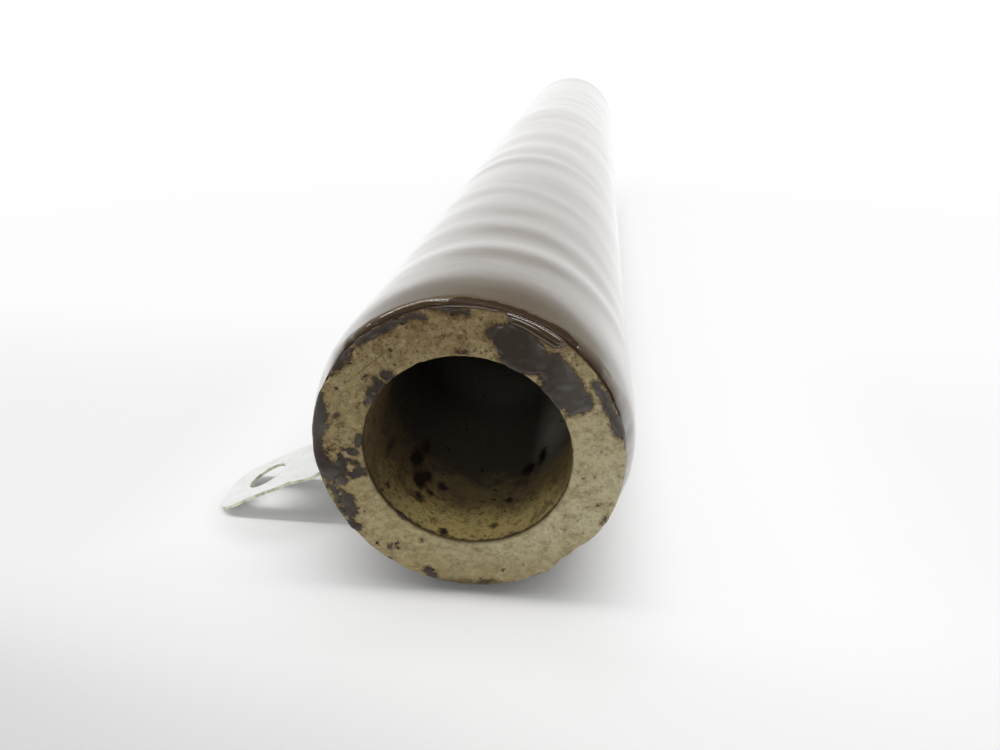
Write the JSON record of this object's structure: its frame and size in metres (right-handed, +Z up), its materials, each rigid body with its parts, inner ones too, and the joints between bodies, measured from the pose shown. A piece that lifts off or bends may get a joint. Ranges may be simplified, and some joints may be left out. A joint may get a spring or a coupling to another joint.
{
  "type": "tubular wirewound power resistor",
  "caption": "Vitreous-enamelled tubular wirewound resistor: open ceramic tube, wavy brown enamel, tinned solder lug near each end.",
  "frame": {"origin": "on the axis of the core's bore, at the middle of the tube's length", "axes": "+Y along the tube from the front end to the rear end, +Z up as the part lies on a table, lugs on the -X side"},
  "size_m": [0.0465, 0.2666, 0.031],
  "materials": {
    "ceramic": "unglazed, fine speckled grain",
    "resistance_wire": "drawn",
    "tinned_strip": "dull tinned",
    "braze": "as fused",
    "enamel": "fired glossy enamel with soft ridges"
  },
  "bodies": {
    "root": {"ceramic_core": "ceramic", "resistance_winding": "resistance_wire", "front_terminal": "tinned_strip", "rear_terminal": "tinned_strip", "front_braze": "braze", "rear_braze": "braze", "enamel_coat": "enamel"}
  },
  "joints": []
}
